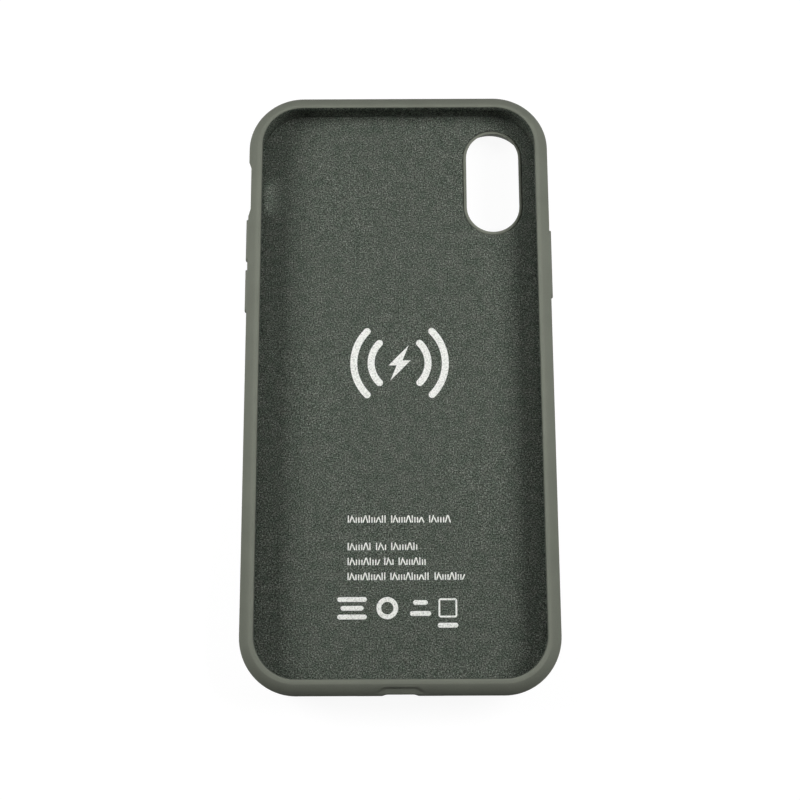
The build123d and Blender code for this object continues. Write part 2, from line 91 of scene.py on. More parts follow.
def makePiece(name, skin, flatLevels=()):
    # welds the faces, fills flat panels between open loops at the given heights, turns faces out
    mesh = bpy.data.meshes.new(name)
    points, faces = np.concatenate(skin["points"]), np.concatenate(skin["faces"])
    mesh.from_pydata(points * mm, [], faces.tolist())
    bm = bmesh.new()
    bm.from_mesh(mesh)
    bmesh.ops.remove_doubles(bm, verts=bm.verts, dist=meshing["weld"])
    bmesh.ops.dissolve_degenerate(bm, edges=bm.edges, dist=meshing["weld"])
    for level in flatLevels:
        rim = [edge for edge in bm.edges if edge.is_boundary
               and all(abs(end.co.z / mm - level) < meshing["level"] for end in edge.verts)]
        bmesh.ops.triangle_fill(bm, use_beauty=True, edges=rim, normal=(0, 0, 1))
    bmesh.ops.recalc_face_normals(bm, faces=bm.faces)
    openEdges = sum(edge.is_boundary for edge in bm.edges)
    bm.to_mesh(mesh)
    bm.free()
    mesh.polygons.foreach_set("use_smooth", np.ones(len(mesh.polygons), bool))
    mesh.set_sharp_from_angle(angle=math.radians(meshing["sharp"]))
    piece = bpy.data.objects.new(name, mesh)
    bpy.context.scene.collection.objects.link(piece)
    print(name, len(mesh.polygons), "faces,", openEdges, "open edges")
    return piece


def softRamp(t, soft):
    # 0 below 0 and t above, with the corner rounded over +-soft
    return np.where(t < -soft, 0.0, np.where(t > soft, t, (t + soft) ** 2 / (4 * soft)))


def softClamp(t, soft):
    # 0 below 0, t between, 1 above 1, with both corners rounded over +-soft
    return softRamp(t, soft) - softRamp(t - 1, soft)


def quarterTurn(count):
    return np.radians(np.linspace(0, 90, count))


def roundEdge(radius, count):
    # quarter round from a flat face down into a hole: (distance from the hole's outline, depth)
    return [(radius * (1 - math.sin(a)), radius * (1 - math.cos(a))) for a in quarterTurn(count)]


def bend(start, pull, end, count):
    # quadratic curve of (offset, z) points from start to end, pulled towards the middle point
    t = np.linspace(0, 1, count)[:, None]
    start, pull, end = np.array(start), np.array(pull), np.array(end)
    return ((1 - t) ** 2 * start + 2 * t * (1 - t) * pull + t ** 2 * end).tolist()


def pillLoop(centre, halfRun, turnSteps, runSteps):
    # closed pill path, long way along Y: core points on its middle line and directions outwards
    half = turnSteps // 2
    turn = np.radians(np.linspace(0, 180, half, endpoint=False))
    run = np.linspace(-halfRun, halfRun, runSteps, endpoint=False) if runSteps else np.zeros(0)
    core = [np.c_[np.zeros(len(run)), run], np.tile([0, halfRun], (half, 1)),
            np.c_[np.zeros(len(run)), -run], np.tile([0, -halfRun], (half, 1))]
    out = [np.tile([1, 0], (len(run), 1)), np.c_[np.cos(turn), np.sin(turn)],
           np.tile([-1, 0], (len(run), 1)), np.c_[-np.cos(turn), -np.sin(turn)]]
    return np.concatenate(core) + np.asarray(centre), np.concatenate(out)


def squareLoop(centre, half, steps):
    # closed square path with a quarter turn at each corner: corner points and directions outwards
    angle = (quarterTurn(steps)[None, :] + np.radians([0, 90, 180, 270])[:, None]).ravel()
    corners = np.repeat([(1, 1), (-1, 1), (-1, -1), (1, -1)], steps, axis=0) * half
    return corners + np.asarray(centre), np.c_[np.cos(angle), np.sin(angle)]


def blockLoop(rows, cols):
    # index pairs once round a block of a grid
    (r0, r1), (c0, c1) = rows, cols
    across, up = np.arange(c0, c1), np.arange(r0, r1)
    rowPart = [np.full(len(across), r0), up, np.full(len(across), r1), up[::-1] + 1]
    colPart = [across, np.full(len(up), c1), across[::-1] + 1, np.full(len(up), c0)]
    return np.concatenate(rowPart), np.concatenate(colPart)


def stations(breaks, steps):
    # places along a run, even steps between breaks; the last break belongs to the next run
    spans = zip(breaks[:-1], breaks[1:], steps)
    return np.concatenate([np.linspace(a, b, max(1, math.ceil(abs(b - a) / step)), endpoint=False)
                           for a, b, step in spans])


# Cover: one soft moulding, a wall profile carried round the case with windows, pads and scoops

coverHigh = boxOf("outer_cover")[1]
liningLow, liningHigh = boxOf("lining")
socketLow, socketHigh = boxOf("charge_port_shell")
keyLow, keyHigh = boxOf("power_button")
guideLow, guideHigh = boxOf("light_guide")

cover = {
    "skin": 1.0,  # thickness of the back
    "padProud": 0.6,
    "liningFit": 0.15,
    "outerCorner": 13.65,
    "pocketCorner": 11.4,
    "cornerSteps": 22,
    "backBevel": 2.4,
    "bevelSoft": 0.5,
    "rimRound": 2.6,
    "rimFall": 2.8,  # height over which the rim rounds off outwards
    "rimEndMore": 0.4,  # added to the round at the two ends
    "rimPower": 1.25,  # 2 is an even round, 1 a flat bevel
    "rimInnerRound": 0.32,
    "lipOverhang": 1.25,
    "lipTopMore": 0.4,
    "lipLeftMore": 0.15,
    "hollowBevel": 2.0,  # under the lip
    "hollowSoft": 0.4,
    "phone": 7.7,  # thickness
    "innerBevel": 0.8,
    "edgeRound": 0.22,  # window edges
    "edgeSteps": 5,
    "holeRound": 0.12,  # small holes in the back
    "holeSteps": 4,
}
gridRows = {  # heights of the rows of the wall's grid, and how many there are in each zone
    "edge": 7,
    "back": (0.8, 1.8, 4),
    "bevelTop": (-0.4, 0.6, 6),  # from the top of the back's bevel
    "wallFoot": 3.8,
    "wall": 7,
    "ledge": 0.32,  # to both sides of the switch scoop's floor
    "ledgeCount": 11,
    "ledgeGap": 0.55,
    "zone": 18,
    "shoulder": (0.02, 0.08, 0.17, 0.26, 0.35),  # shares of the rim's fall
    "top": 15,
    "topShare": 0.55,
    "topPower": 2.5,  # brings the rows closer towards the crest
    "lip": 7,
    "lipEdge": 0.35,
    "hollow": (0.2, 0.36),  # below the lip's foot
    "underFloor": 6.6,
    "lowTop": 6.0,
}
spacing = {"short": 4.0, "shortStep": 0.2, "itemStep": 0.36, "plainStep": 1.3,  # along the walls
           "itemShare": 0.45, "scoopMargin": 0.3}
plugScoop = {"side": "bottom", "at": 0.0, "length": 13.6, "run": 2.9, "depth": 2.05, "soft": 0.05,
             "fall": 1.5, "footSoft": 0.06}  # fall: depth gained per millimetre above the window
muteScoop = {"side": "left", "at": 50.0, "length": 14.4, "run": 1.6, "depth": 0.7, "soft": 0.05,
             "floorDrop": 3.4, "ledge": 0.3, "ledgeSoft": 0.25}
scoops = [plugScoop, muteScoop]
scoopJoin = 0.06  # soft edge between scoop and wall, as a share of the scoop's depth
bigWindow = {"length": 9.0, "height": 4.8, "corner": 1.6, "span": 9.7, "rise": 5.6}
soundSlot = {"length": 12.0, "height": 2.4, "corner": 1.2, "span": 14.0, "rise": 4.0}
windows = [  # span and rise give the block of the wall that is remade round each
    dict(bigWindow, side="bottom", at=0.0),
    dict(bigWindow, side="left", at=50.0),
    dict(soundSlot, side="bottom", at=-17.0),
    dict(soundSlot, side="bottom", at=17.0),
]
stampShares = (0.35, 0.7, 1.0)  # rings between such a block's edge and the outline inside it
pads = [
    {"side": "left", "at": 37.0, "length": 11.0, "span": 12.4},
    {"side": "left", "at": 23.8, "length": 11.0, "span": 12.4},
    {"side": "right", "at": 30.5, "length": 17.6, "span": 19.2},
]
padForm = {
    "height": 3.6,
    "rise": 4.9,
    "foot": 0.2,
    "footSteps": 4,
    "crest": 0.26,
    "crestSteps": 6,
    "crown": 1.2,  # distance over which a pad rises from its long edges
    "crownSoft": 0.15,
    "capShares": (0.3, 0.45, 0.6, 0.75, 1.0),
    "pocketDepth": 0.9,
    "pocketMargin": 0.9,
}
opening = {  # for the phone's cameras
    "x": 24.4,
    "y": 53.95,
    "width": 13.4,
    "length": 26.6,
    "flare": 20.0,
    "collar": 0.75,
    "backEdge": 0.5,
    "backSteps": 6,
    "topEdge": 0.25,
    "topSteps": 5,
    "tubeRows": (2.0, 3.5, 5.0, 6.5),
    "collarRows": (5.0, 3.0),
    "turnSteps": 72,
    "runSteps": 14,
}
socketHole = {"fit": 0.15, "rise": 4.46, "span": 11.4}
keyHole = {"flange": 0.8, "fit": 0.3, "steps": 48}
lightHoles = {"count": 4, "pitch": 4.0, "bar": 2.6, "pin": 1.6, "fit": 0.1, "corner": 0.1,
              "steps": 5}

halfLength = coverHigh[1]
halfWidth = coverHigh[0] - cover["padProud"]
caseHeight = coverHigh[2]
pocketHalfWidth = liningHigh[0] + cover["liningFit"]
pocketHalfLength = (liningHigh[1] - liningLow[1]) / 2 + cover["liningFit"]
pocketMidY = (liningHigh[1] + liningLow[1]) / 2
bayZ = liningHigh[2]
phoneMidZ = bayZ + cover["phone"] / 2
hollowZ = bayZ + cover["phone"] - cover["hollowBevel"]
lipFootZ = hollowZ + cover["lipOverhang"]
rimZ = caseHeight - cover["rimFall"]
scoopFloorZ = phoneMidZ - muteScoop["floorDrop"]
outerCore = np.array([halfWidth, halfLength]) - cover["outerCorner"]
innerCore = np.array([pocketHalfWidth, pocketHalfLength]) - cover["pocketCorner"]
outerReach = {"bottom": halfLength, "left": halfWidth, "right": halfWidth}
innerReach = {"bottom": pocketHalfLength - pocketMidY,
              "left": pocketHalfWidth, "right": pocketHalfWidth}


def scoopCut(side, along, z):
    # depth of a scoop: full between slanted ends, down to a slanted floor for the plug
    # and to a level one for the switch
    if side not in ("bottom", "left"):
        return np.zeros(np.broadcast_shapes(np.shape(along), np.shape(z)))
    scoop = plugScoop if side == "bottom" else muteScoop
    fromEnd = (scoop["length"] / 2 - abs(along - scoop["at"])) / scoop["run"]
    plan = scoop["depth"] * softClamp(fromEnd, scoop["soft"])
    if side == "bottom":
        floor = scoop["fall"] * (z - phoneMidZ - bigWindow["height"] / 2)
        lesser = floor - softRamp(floor - plan, scoop["soft"])
        return softRamp(lesser, scoop["footSoft"])
    return plan * softClamp((z - scoopFloorZ) / scoop["ledge"] + 0.5, scoop["ledgeSoft"])


def outerInset(side, along, z, endShare):
    # distance in from the widest outline: bevelled back edge, plain wall and flattened round rim,
    # or the scoop where that is deeper
    soft, power = cover["bevelSoft"], cover["rimPower"]
    base = softRamp(cover["backBevel"] - z, soft)
    base = base + soft * (1 - np.sqrt(np.clip(z / soft, 0, 1))) ** 2
    rim = np.clip((z - caseHeight) / cover["rimFall"] + 1, 0, 1)
    rimRound = cover["rimRound"] + cover["rimEndMore"] * endShare ** 2
    base = base + rimRound * (1 - (1 - rim ** power) ** (1 / power))
    scoop = scoopCut(side, along, z)
    return (base + scoop + np.sqrt((base - scoop) ** 2 + (scoopJoin * scoop) ** 2)) / 2


def innerInset(z):
    # pocket wall: bevel at its foot, plain up to the hollow, then a slope in to the lip's edge
    foot = np.clip(cover["skin"] + cover["innerBevel"] - z, 0, cover["innerBevel"])
    return foot + softRamp(z - hollowZ, cover["hollowSoft"])


def runBreaks(side, start, end):
    # places where scoops, windows and pads begin and end on a side, in running order,
    # and the step between columns in each span
    items = [item for item in windows + pads if item["side"] == side]
    reaches = [(item["at"], item["span"] / 2) for item in items]
    reaches += [(scoop["at"], scoop["length"] / 2 + spacing["scoopMargin"])
                for scoop in scoops if scoop["side"] == side]
    breaks = [start, end] + [at + way * reach for at, reach in reaches for way in (-1, 1)]
    breaks = sorted({round(float(place), 3) for place in breaks}, reverse=bool(start > end))
    steps = []
    for a, b in zip(breaks[:-1], breaks[1:]):
        inItem = any(abs(item["at"] - (a + b) / 2) < spacing["itemShare"] * item["span"]
                     for item in items)
        step = spacing["itemStep"] if inItem else spacing["plainStep"]
        steps.append(spacing["shortStep"] if abs(b - a) < spacing["short"] else step)
    return breaks, steps


def caseLoop():
    # columns round the case: straight runs and corner turns, as core points for both outlines
    # and the normals that they share
    turn = np.radians(np.linspace(0, 90, cover["cornerSteps"], endpoint=False))
    walls = {"bottom": (0, -1), "right": (1, 0), "top": (0, 1), "left": (-1, 0)}
    corners = [(1, -1), (1, 1), (-1, 1), (-1, -1)]
    pieces = []
    for (side, normal), corner in zip(walls.items(), corners):
        reach = outerCore[0] if normal[0] == 0 else outerCore[1]
        way = 1 if side in ("bottom", "right") else -1
        along = stations(*runBreaks(side, -way * reach, way * reach))
        other = np.full(len(along), float(sum(normal)))
        place = np.c_[along / reach, other] if normal[0] == 0 else np.c_[other, along / reach]
        pieces.append((np.full(len(along), side, "<U6"), along, place,
                       np.tile(normal, (len(along), 1))))
        angle = turn + math.atan2(normal[1], normal[0])
        pieces.append((np.full(len(turn), "corner"), np.zeros(len(turn)),
                       np.tile(corner, (len(turn), 1)), np.c_[np.cos(angle), np.sin(angle)]))
    sides, along, place, normal = (np.concatenate(column) for column in zip(*pieces))
    return sides, along, place * outerCore, place * innerCore + [0, pocketMidY], normal


def wallPoint(side, along, reach, z):
    # a point on a straight wall from its place along the wall, its distance out and its height
    if side == "bottom":
        return np.stack([along, -reach, z], axis=-1)
    return np.stack([reach if side == "right" else -reach, along, z], axis=-1)


def nearestOutline(along, z, form):
    # nearest-point map onto a rounded rectangle: core point and the direction outwards from it
    at = np.stack([along - form["at"], z - form["z"]], axis=-1)
    limit = np.array([form["length"], form["height"]]) / 2 - form["corner"]
    core = np.clip(at, -limit, limit)
    out = at - core
    return core + [form["at"], form["z"]], out / np.linalg.norm(out, axis=-1, keepdims=True)


def stamp(skin, ring, along, z, form, profile, inner=False):
    # fills a block of the wall from its edge in to an outline, then follows the (offset, height)
    # steps of a profile; a form with a crown also rises from its long edges
    core, out = nearestOutline(along, z, form)
    first = core + (form["corner"] + profile[0][0]) * out
    edge = np.stack([along, z], axis=-1)
    steps = [(edge + (first - edge) * share, 0.0) for share in stampShares]
    steps += [(core + (form["corner"] + offset) * out, height) for offset, height in profile[1:]]
    side = form["side"]
    rows = [ring]
    for place, height in steps:
        a, b = place[:, 0], place[:, 1]
        if inner:
            reach = innerReach[side] - innerInset(b) + height
        else:
            if "crown" in form:
                fromEdge = (form["height"] / 2 - abs(b - form["z"])) / form["crown"]
                height = height * softClamp(fromEdge, padForm["crownSoft"])
            reach = outerReach[side] - outerInset(side, a, b, float(side == "bottom")) + height
        rows.append(addPoints(skin, wallPoint(side, a, reach, b)))
    addQuads(skin, np.array(rows), wrap=True)
    return rows[-1]


def buildCover():
    skin = newSkin()
    sides, along, outerCorePts, innerCorePts, normal = caseLoop()
    backZ = np.r_[cover["bevelSoft"] * np.linspace(0, 1, gridRows["edge"]) ** 2,
                  np.linspace(*gridRows["back"]),
                  cover["backBevel"] + np.linspace(*gridRows["bevelTop"])]
    ledge, gap = gridRows["ledge"], gridRows["ledgeGap"]
    wallZ = np.linspace(gridRows["wallFoot"], scoopFloorZ - gap, gridRows["wall"])
    ledgeZ = np.linspace(scoopFloorZ - ledge, scoopFloorZ + ledge, gridRows["ledgeCount"])
    shoulderZ = rimZ + cover["rimFall"] * np.array(gridRows["shoulder"])
    zoneZ = np.r_[np.linspace(scoopFloorZ + gap, rimZ, gridRows["zone"]), shoulderZ]
    topFall = np.linspace(1, 0, gridRows["top"]) ** gridRows["topPower"]
    topZ = caseHeight - cover["rimFall"] * gridRows["topShare"] * topFall
    outerZ = np.r_[backZ, wallZ, ledgeZ, zoneZ, topZ]
    outside = np.zeros((len(outerZ), len(along)))
    for side in np.unique(sides):
        there = sides == side
        outside[:, there] = outerInset(side, along[None, there], outerZ[:, None],
                                       normal[None, there, 1])

    lipTurn = quarterTurn(gridRows["lip"])
    lipInset = cover["lipOverhang"] - cover["rimInnerRound"] * (1 - np.sin(lipTurn))
    lipZ = caseHeight - cover["rimInnerRound"] * (1 - np.cos(lipTurn))
    lowZ = outerZ[(outerZ > cover["skin"]) & (outerZ < gridRows["lowTop"])]
    plainZ = np.r_[lipFootZ - np.array(gridRows["hollow"]), zoneZ[::-1], bayZ,
                   gridRows["underFloor"], lowZ[::-1], cover["skin"]]
    innerZ = np.r_[lipZ, lipFootZ + gridRows["lipEdge"], lipFootZ, plainZ]
    inside = np.r_[lipInset, [cover["lipOverhang"]] * 2, innerInset(plainZ)]
    inside = inside[:, None] + np.zeros(len(along))
    lipRows = len(lipZ) + 2
    inside[:lipRows] += (cover["lipTopMore"] * np.clip(normal[:, 1], 0, 1) ** 2
                         + cover["lipLeftMore"] * np.clip(-normal[:, 0], 0, 1) ** 2)

    rowZ = np.r_[outerZ, innerZ][:, None] + np.zeros(len(along))
    outerXY = outerCorePts + (cover["outerCorner"] - outside)[..., None] * normal
    innerXY = innerCorePts + (cover["pocketCorner"] - inside)[..., None] * normal
    bothXY = np.concatenate([outerXY, innerXY])
    index = addPoints(skin, np.concatenate([bothXY, rowZ[..., None]], axis=-1))
    keep = np.ones((len(index) - 1, len(along)), bool)

    def block(form, rise, span, inner=False):
        # takes a block out of the wall and returns its edge: vertex numbers, places and heights
        onSide = np.flatnonzero(sides == form["side"])
        c0, c1 = sorted(onSide[np.argmin(abs(along[onSide] - form["at"] - way * span / 2))]
                        for way in (-1, 1))
        r0, r1 = (np.argmin(abs(outerZ - form["z"] - way * rise / 2)) for way in (-1, 1))
        rows, cols = blockLoop((r0, r1), (c0, c1))
        heights = outerZ[rows]
        place = along[cols]
        if inner:
            nearest = abs(plainZ[None, :] - heights[:, None]).argmin(axis=1)
            rows = len(outerZ) + lipRows + nearest
            place = innerCorePts[cols, 0 if form["side"] == "bottom" else 1]
        keep[rows.min():rows.max(), c0:c1] = False
        return index[rows, cols], place, heights

    def pierce(form, rise, span):
        # a hole right through the wall, with both edges rounded
        rings = []
        for inner in (False, True):
            edge = block(form, rise, span, inner)
            profile = [(offset, depth if inner else -depth)
                       for offset, depth in roundEdge(cover["edgeRound"], cover["edgeSteps"])]
            rings.append(stamp(skin, *edge, form, profile, inner))
        addQuads(skin, np.array(rings), wrap=True)

    for window in windows:
        pierce(dict(window, z=phoneMidZ), window["rise"], window["span"])
    socketSize = socketHigh - socketLow + 2 * socketHole["fit"]
    socketForm = {"side": "bottom", "at": 0.0, "z": (socketLow[2] + socketHigh[2]) / 2,
                  "length": socketSize[0], "height": socketSize[2], "corner": socketSize[2] / 2}
    pierce(socketForm, socketHole["rise"], socketHole["span"])

    proud, crest, tall = cover["padProud"], padForm["crest"], padForm["height"]
    margin, depth = padForm["pocketMargin"], padForm["pocketDepth"]
    small = tall / 2 - margin
    padEdge = roundEdge(padForm["foot"], padForm["footSteps"])
    padEdge += [(crest * (math.cos(a) - 1), proud - crest * (1 - math.sin(a)))
                for a in quarterTurn(padForm["crestSteps"])]
    padEdge += [(-share * tall / 2, proud) for share in padForm["capShares"]]
    pocketEdge = roundEdge(cover["holeRound"], cover["holeSteps"]) + [(0, depth), (-small, depth)]
    for pad in pads:
        form = dict(pad, z=phoneMidZ, height=tall, corner=tall / 2, crown=padForm["crown"])
        stamp(skin, *block(form, padForm["rise"], pad["span"]), form, padEdge)
        pocket = dict(form, length=pad["length"] - 2 * margin, height=2 * small, corner=small)
        stamp(skin, *block(pocket, padForm["rise"], pad["span"], True), pocket, pocketEdge, True)
    addQuads(skin, index, wrap=True, keep=keep)

    # camera opening: flared tube from the back up to a narrow collar, then down its outside
    slope = math.tan(math.radians(opening["flare"]))
    back, top, wall = opening["backEdge"], opening["topEdge"], opening["collar"]
    steps = opening["topSteps"]
    profile = bend((bayZ * slope + back, 0), (bayZ * slope, 0), ((bayZ - back) * slope, back),
                   opening["backSteps"])
    profile += [((bayZ - z) * slope, z) for z in opening["tubeRows"]]
    profile += bend((top * slope, bayZ - top), (0, bayZ), (top, bayZ), steps)
    profile += bend((wall - top, bayZ), (wall, bayZ), (wall + top * slope, bayZ - top), steps)
    profile += [(wall + (bayZ - z) * slope, z) for z in (*opening["collarRows"], cover["skin"])]
    core, out = pillLoop((opening["x"], opening["y"]), (opening["length"] - opening["width"]) / 2,
                         opening["turnSteps"], opening["runSteps"])
    addTube(skin, core, out, opening["width"] / 2, profile)

    # holes for the power key and the charge lights
    keyMid = (keyLow + keyHigh) / 2
    lightY = (guideLow[1] + guideHigh[1]) / 2
    firstLight = guideLow[0] + lightHoles["bar"] / 2
    holeEdge = roundEdge(cover["holeRound"], cover["holeSteps"]) + [(0, cover["skin"])]
    keyRadius = (keyHigh[0] - keyLow[0]) / 2 - keyHole["flange"] + keyHole["fit"]
    addTube(skin, *pillLoop(keyMid[:2], 0, keyHole["steps"], 0), keyRadius, holeEdge)
    half = lightHoles["pin"] / 2 + lightHoles["fit"] - lightHoles["corner"]
    for i in range(lightHoles["count"]):
        centre = (firstLight + i * lightHoles["pitch"], lightY)
        core, out = squareLoop(centre, half, lightHoles["steps"])
        addTube(skin, core, out, lightHoles["corner"], holeEdge)
    return makePiece("caseCover", skin, flatLevels=(0.0, cover["skin"]))


# reach of the dark nap colour painted on the pocket's wall as its shade: distances out from the
# pocket's outline, and heights
paintedShadeReach = {"inmost": -2.5, "outmost": 0.5, "lip": -0.6, "lipMargin": 0.2, "foot": 0.5, "fade": 0.1,
           "soft": 0.25}


def markPaintedWallShade(piece):
    # point attribute for painted shade: 1 on the pocket's wall from the floor up to the round of
    # the lip, where the wall takes the dark nap colour, 0 elsewhere
    points = np.empty((len(piece.data.vertices), 3))
    piece.data.vertices.foreach_get("co", points.ravel())
    points = points / mm
    z = points[:, 2]
    away = np.maximum(abs(points[:, :2] - [0, pocketMidY]) - innerCore, 0)
    beyond = np.hypot(away[:, 0], away[:, 1]) - cover["pocketCorner"]
    limit = np.where(z > lipFootZ - paintedShadeReach["lipMargin"], paintedShadeReach["lip"], paintedShadeReach["outmost"])
    onWall = (beyond > paintedShadeReach["inmost"]) & (beyond < limit) & (z > bayZ - paintedShadeReach["foot"])
    top = caseHeight - cover["rimInnerRound"]
    share = onWall * softClamp((top - z) / paintedShadeReach["fade"] + 1, paintedShadeReach["soft"])
    paintedWallShade = piece.data.attributes.new("paintedWallShade", "FLOAT", "POINT")
    paintedWallShade.data.foreach_set("value", share.astype(np.float32))
    print("nap on", int((share > 0.5).sum()), "points of the wall")


caseCover = buildCover()
# painted shade: the pocket's wall is marked to take the dark nap colour
markPaintedWallShade(caseCover)
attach(caseCover, "case")
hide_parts("outer_cover")

# Lining: a thin cloth on the pocket floor, cut out round the camera collar

lining = {
    "corner": 11.25,
    "cornerSteps": 12,
    "step": 1.1,
    "wave": 0.03,
    "waves": ((5.3, 11.0), (-17.0, 7.1)),  # lengths across and along
    "edgeDrop": 0.1,
    "holeGap": 0.996,
    "holeShares": (0.35, 0.7, 0.92, 1.0),
    "block": (0.44, 0.945, 38.9, 69.2),  # remade round the hole: two shares across, then two Y
}


def napHeight(x, y):
    # unevenness of the nap: the sum of two slow waves, at most level with the top of the cloth
    first, second = (np.sin(x / across + y / along) for across, along in lining["waves"])
    return bayZ - lining["wave"] * (1 + 0.5 * first + 0.5 * second)


def clothFace(skin, height):
    # grid over the cloth, x = share * half width at that y; returns the edge loops of the cloth
    # and of its hole
    halfW = liningHigh[0]
    midY = (liningHigh[1] + liningLow[1]) / 2
    halfL = (liningHigh[1] - liningLow[1]) / 2
    r = lining["corner"]
    left, right, blockLow, blockHigh = lining["block"]
    turn = quarterTurn(lining["cornerSteps"])
    endY = halfL - r * (1 - np.cos(turn))  # from the end towards the middle
    endW = halfW - r + r * np.sin(turn)
    run = stations([r - halfL, blockLow - midY, halfL - r], [lining["step"]] * 2)[1:]
    rowY = midY + np.r_[-endY, run, endY[::-1]]
    rowW = np.r_[endW, np.full(len(run), halfW), endW[::-1]]
    share = np.r_[stations([-1, left, right, 1], [lining["step"] / halfW] * 3), 1.0]
    x = share[None, :] * rowW[:, None]
    y = rowY[:, None] + np.zeros(len(share))
    z = height(x, y)
    r0, r1 = (int(np.argmin(abs(rowY - v))) for v in (blockLow, blockHigh))
    c0, c1 = (int(np.argmin(abs(share - v))) for v in (left, right))
    rim = blockLoop((0, len(rowY) - 1), (0, len(share) - 1))
    z[rim] -= lining["edgeDrop"] * (z[rim] > liningLow[2])
    index = addPoints(skin, np.stack([x, y, z], axis=-1))
    keep = np.ones((len(rowY) - 1, len(share) - 1), bool)
    keep[r0:r1, c0:c1] = False
    addQuads(skin, index, keep=keep)
    around = blockLoop((r0, r1), (c0, c1))
    edge = np.c_[x[around], y[around]]
    centre = np.array([opening["x"], opening["y"]])
    half = (opening["length"] - opening["width"]) / 2
    core = centre + np.c_[np.zeros(len(edge)), np.clip(edge[:, 1] - centre[1], -half, half)]
    out = (edge - core) / np.linalg.norm(edge - core, axis=1, keepdims=True)
    hole = core + (opening["width"] / 2 + lining["holeGap"]) * out
    rows = [index[around]]
    for t in lining["holeShares"]:
        place = edge + (hole - edge) * t
        level = height(place[:, 0], place[:, 1])
        if t == 1.0:
            level = level - lining["edgeDrop"] * (level > liningLow[2])
        rows.append(addPoints(skin, np.c_[place, level]))
    addQuads(skin, np.array(rows), wrap=True)
    return index[rim], rows[-1]


def buildLining():
    skin = newSkin()
    topRim, topHole = clothFace(skin, napHeight)
    lowRim, lowHole = clothFace(skin, lambda x, y: np.full(np.shape(x), liningLow[2]))
    addQuads(skin, np.array([topRim, lowRim]), wrap=True)
    addQuads(skin, np.array([topHole, lowHole]), wrap=True)
    return makePiece("liningCloth", skin)


liningCloth = buildLining()
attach(liningCloth, "case")
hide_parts("lining")

# Print on the cloth: a plain charging sign, word-like dashes and plain shapes, all of thin ink

ink = {"rise": 0.035, "sink": 0.05, "edge": 0.08, "capSteps": 14, "barSteps": 6, "tickSteps": 3}
sign = {"x": 0.1, "y": 6.2, "radii": (11.5, 7.15), "stroke": 1.75, "spread": 45.0, "steps": 40}
bolt = {"half": [(2.3, 4.5), (-2.8, -0.65), (-0.75, -0.65)],  # the other corners are opposite
        "steps": 12}
ticks = {  # strokes that fill a dash; leans and talls repeat along it
    "pitch": 0.62, "stroke": 0.3, "height": 1.1, "tall": 0.45, "lean": 0.24,
    "leans": (0, 1, -1, 0, 0), "talls": (1, 1, 0, 0, 0, 0, 1),
}
lines = [  # Y of the line's middle, then each dash from X to X
    (-33.1, ((-12.9, -3.3), (-2.3, 5.9), (7.0, 12.4))),
    (-39.75, ((-12.9, -7.0), (-6.0, -3.2), (-2.3, 4.4))),
    (-43.35, ((-12.9, -4.9), (-4.0, -1.4), (-0.5, 6.4))),
    (-46.95, ((-12.9, -3.4), (-2.5, 7.1), (8.2, 15.7))),
]
marks = {  # three bars, a ring, a short bar over a long one, a fine square over a bar
    "y": -54.3, "bold": 1.15, "fine": 0.45, "half": 2.05,
    "bars": [(-11.6, 2.07, 3.0), (-11.6, 0.0, 2.2), (-11.6, -2.07, 3.0),  # X, rise, half length
             (4.9, 1.3, 1.2), (4.9, -1.3, 2.0), (11.5, -4.1, 1.9)],
    "ringX": -3.1, "ringSteps": 56,
    "squareX": 11.5, "squareCorner": 0.4, "squareSteps": 8,
}


def addSlab(skin, core, edge):
    # ink patch: rings from the outline to its middle line, core + share * (edge - core), both faces
    reach = np.linalg.norm(edge - core, axis=1, keepdims=True)
    inner = core + (edge - core) * np.maximum(0, 1 - ink["edge"] / reach)
    rings = [(core, -ink["sink"]), (edge, -ink["sink"]), (edge, ink["rise"] / 2),
             (inner, ink["rise"]), (core, ink["rise"])]
    points = [np.c_[ring, napHeight(ring[:, 0], ring[:, 1]) + level] for ring, level in rings]
    addQuads(skin, addPoints(skin, np.array(points)), wrap=True)


def addStroke(skin, path, width):
    # round-ended stroke: both sides of a path and a half turn about each end
    way = np.gradient(path, axis=0)
    way /= np.linalg.norm(way, axis=1, keepdims=True)
    left = np.c_[-way[:, 1], way[:, 0]]
    turn = np.radians(np.linspace(90, -90, ink["capSteps"])[1:-1])[:, None]
    headCap = np.cos(turn) * way[-1] + np.sin(turn) * left[-1]
    tailCap = -np.cos(turn) * way[0] - np.sin(turn) * left[0]
    out = np.concatenate([left, headCap, -left[::-1], tailCap])
    head, tail = (np.tile(end, (len(turn), 1)) for end in (path[-1], path[0]))
    core = np.concatenate([path, head, path[::-1], tail])
    addSlab(skin, core, core + out * width / 2)


def addBand(skin, core, out, radius, width):
    # closed outline of even width: a low section carried round a loop of core points
    half, soft, sink, rise = width / 2, ink["edge"], ink["sink"], ink["rise"]
    section = [(-half, -sink), (-half, rise / 2), (soft - half, rise), (half - soft, rise),
               (half, rise / 2), (half, -sink), (-half, -sink)]
    rows = []
    for offset, level in section:
        ring = core + (radius + offset) * out
        rows.append(np.c_[ring, napHeight(ring[:, 0], ring[:, 1]) + level])
    addQuads(skin, addPoints(skin, np.array(rows)), wrap=True)


